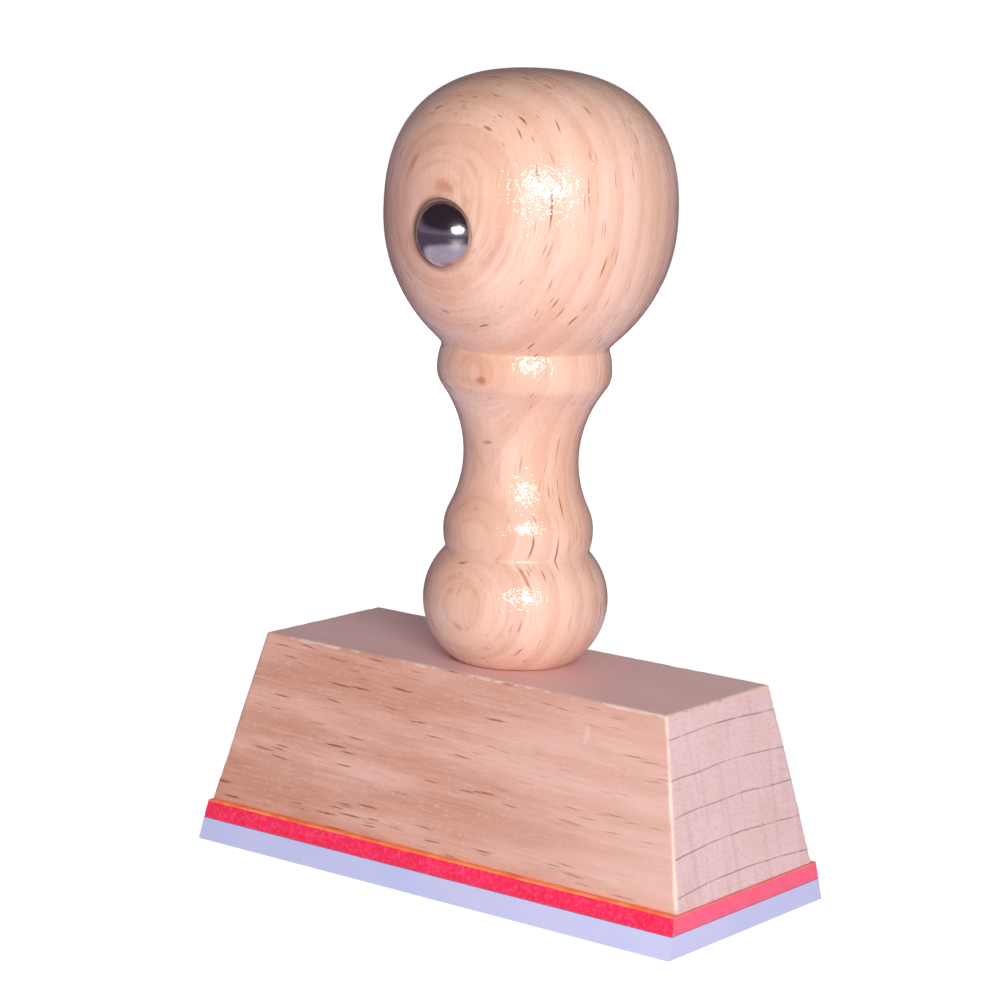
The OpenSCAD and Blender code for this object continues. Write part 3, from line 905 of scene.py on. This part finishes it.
def redFoam():
    graph = Graph("red foam")
    at = millimetres(graph)
    cells = graph.voronoi(at, 4.0)["Distance"]
    broad = graph.noise(at, 0.6, 2.0)
    small = graph.noise(at, 2.2, 3.0, 0.65)
    cutEnd = graph.math("ABSOLUTE", graph.split(graph.coords.outputs["Normal"])[0])
    tone = graph.mix(graph.ramp(cells, 0.2, 0.7), foam["deep"], foam["bright"])
    tone = graph.mix(graph.math("MULTIPLY", graph.ramp(broad, 0.4, 0.65), 0.5), tone, foam["dark"])
    tone = graph.mix(graph.math("MULTIPLY", graph.ramp(small, 0.46, 0.66), 0.34), tone, foam["speck"])
    tone = graph.mix(graph.math("MULTIPLY", graph.ramp(cutEnd, 0.7, 0.95), 0.4), tone, foam["cutEnd"])
    height = graph.math("MULTIPLY_ADD", small, 0.7, cells)
    graph.set(Base_Color=tone, Roughness=0.85, Normal=graph.bump(height, 0.6, 0.08 * mm),
              Sheen_Weight=0.1, Sheen_Roughness=0.6,
              Emission_Color=foam["glow"], Emission_Strength=foam["glowShare"])
    return graph.material


def amberFilm():
    graph = Graph("amber film")
    at = millimetres(graph)
    blot = graph.noise(at, 0.35, 3.0, 0.6)
    tone = graph.mix(graph.ramp(blot, 0.35, 0.65), film["amber"], film["paleAmber"])
    # the ends were cut with the foam and picked up its colour
    cutEnd = graph.ramp(graph.math("ABSOLUTE", graph.split(at)[0]), *film["endsFrom"])
    tone = graph.mix(graph.math("MULTIPLY", cutEnd, 0.8), tone, film["cutEnd"])
    graph.set(Base_Color=tone, Roughness=0.3, Normal=graph.bump(graph.noise(at, 3.0), 0.4, 0.05 * mm),
              Emission_Color=film["glow"], Emission_Strength=film["glowShare"])
    return graph.material


def greyFilm():
    graph = Graph("grey film")
    blot = graph.noise(millimetres(graph), 0.5, 2.0)
    graph.set(Base_Color=graph.mix(blot, film["grey"], film["paleGrey"]), Roughness=0.5)
    return graph.material


def plateRubber():
    graph = Graph("pale lilac rubber")
    at = millimetres(graph)
    cloud = graph.noise(at, 0.08, 2.0)
    speck = graph.noise(at, 5.0, 2.0, 0.6)
    cut = graph.noise(graph.vector("MULTIPLY", at, (0.4, 0.4, 5.0)), 1.0, 3.0, 0.6)
    tone = graph.mix(graph.ramp(cloud, 0.3, 0.7), plateLook["blue"], plateLook["lilac"])
    tone = graph.mix(graph.math("MULTIPLY", graph.ramp(speck, 0.5, 0.7), 0.2), tone, plateLook["speck"])
    height = graph.math("ADD", graph.math("MULTIPLY", speck, 0.5), cut)
    graph.set(Base_Color=tone, Roughness=0.62, Normal=graph.bump(height, 0.3, 0.04 * mm))
    return graph.material


def steel(name, brightness):
    graph = Graph(name)
    at = millimetres(graph)
    spots = graph.noise(at, 1.5, 3.0, 0.6)
    lines = graph.noise(graph.vector("MULTIPLY", at, (0.5, 0.5, 8)), 1.0, 3.0, 0.6)
    tone = graph.mix(graph.ramp(spots, 0.35, 0.7), (brightness, brightness * 0.98, brightness * 0.92, 1),
                     (brightness * 0.7, brightness * 0.68, brightness * 0.62, 1))
    rough = graph.math("MULTIPLY_ADD", lines, 0.25, 0.25)
    graph.set(Base_Color=tone, Metallic=1.0, Roughness=rough, Normal=graph.bump(lines, 0.2, 0.03 * mm))
    return graph.material


def finishNode(node, material, bevel):
    # a CAD piece keeps its mesh and gets its finish and softened edges
    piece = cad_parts[node]
    piece.data.materials.clear()
    piece.data.materials.append(material)
    if bevel:
        weld = piece.modifiers.new("weld", "WELD")
        weld.merge_threshold = 0.001 * mm
        soften = piece.modifiers.new("soften", "BEVEL")
        soften.width, soften.segments = bevel * mm, 2
        soften.limit_method, soften.angle_limit = "ANGLE", math.radians(30)
        soften.harden_normals = True


def makeCushion():
    cushion = trimmedSheet("foamCushion", "cushion_foam", foam["rows"], foamShape)
    cushion.data.materials.append(redFoam())
    smooth(cushion, 50)
    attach(cushion, "stamp_body")
    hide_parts("cushion_foam")
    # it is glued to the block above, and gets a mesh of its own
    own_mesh(cushion)


def makeAmberFilm():
    amber = trimmedSheet("amberFilm", "block_adhesive_film", film["rows"], filmShape)
    amber.data.materials.append(amberFilm())
    smooth(amber, 50)
    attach(amber, "stamp_body")
    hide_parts("block_adhesive_film")


def finishHardware():
    finishNode("plate_adhesive_film", greyFilm(), 0)
    finishNode("stamp_plate", plateRubber(), plateLook["bevel"])
    finishNode("dowel_screw", steel("zinc plated screw", 0.62), 0)
    finishNode("marker_nail_shank", steel("drawn wire", 0.6), 0)


makeCushion()
makeAmberFilm()
finishHardware()
print("cushion, films and plate ready")
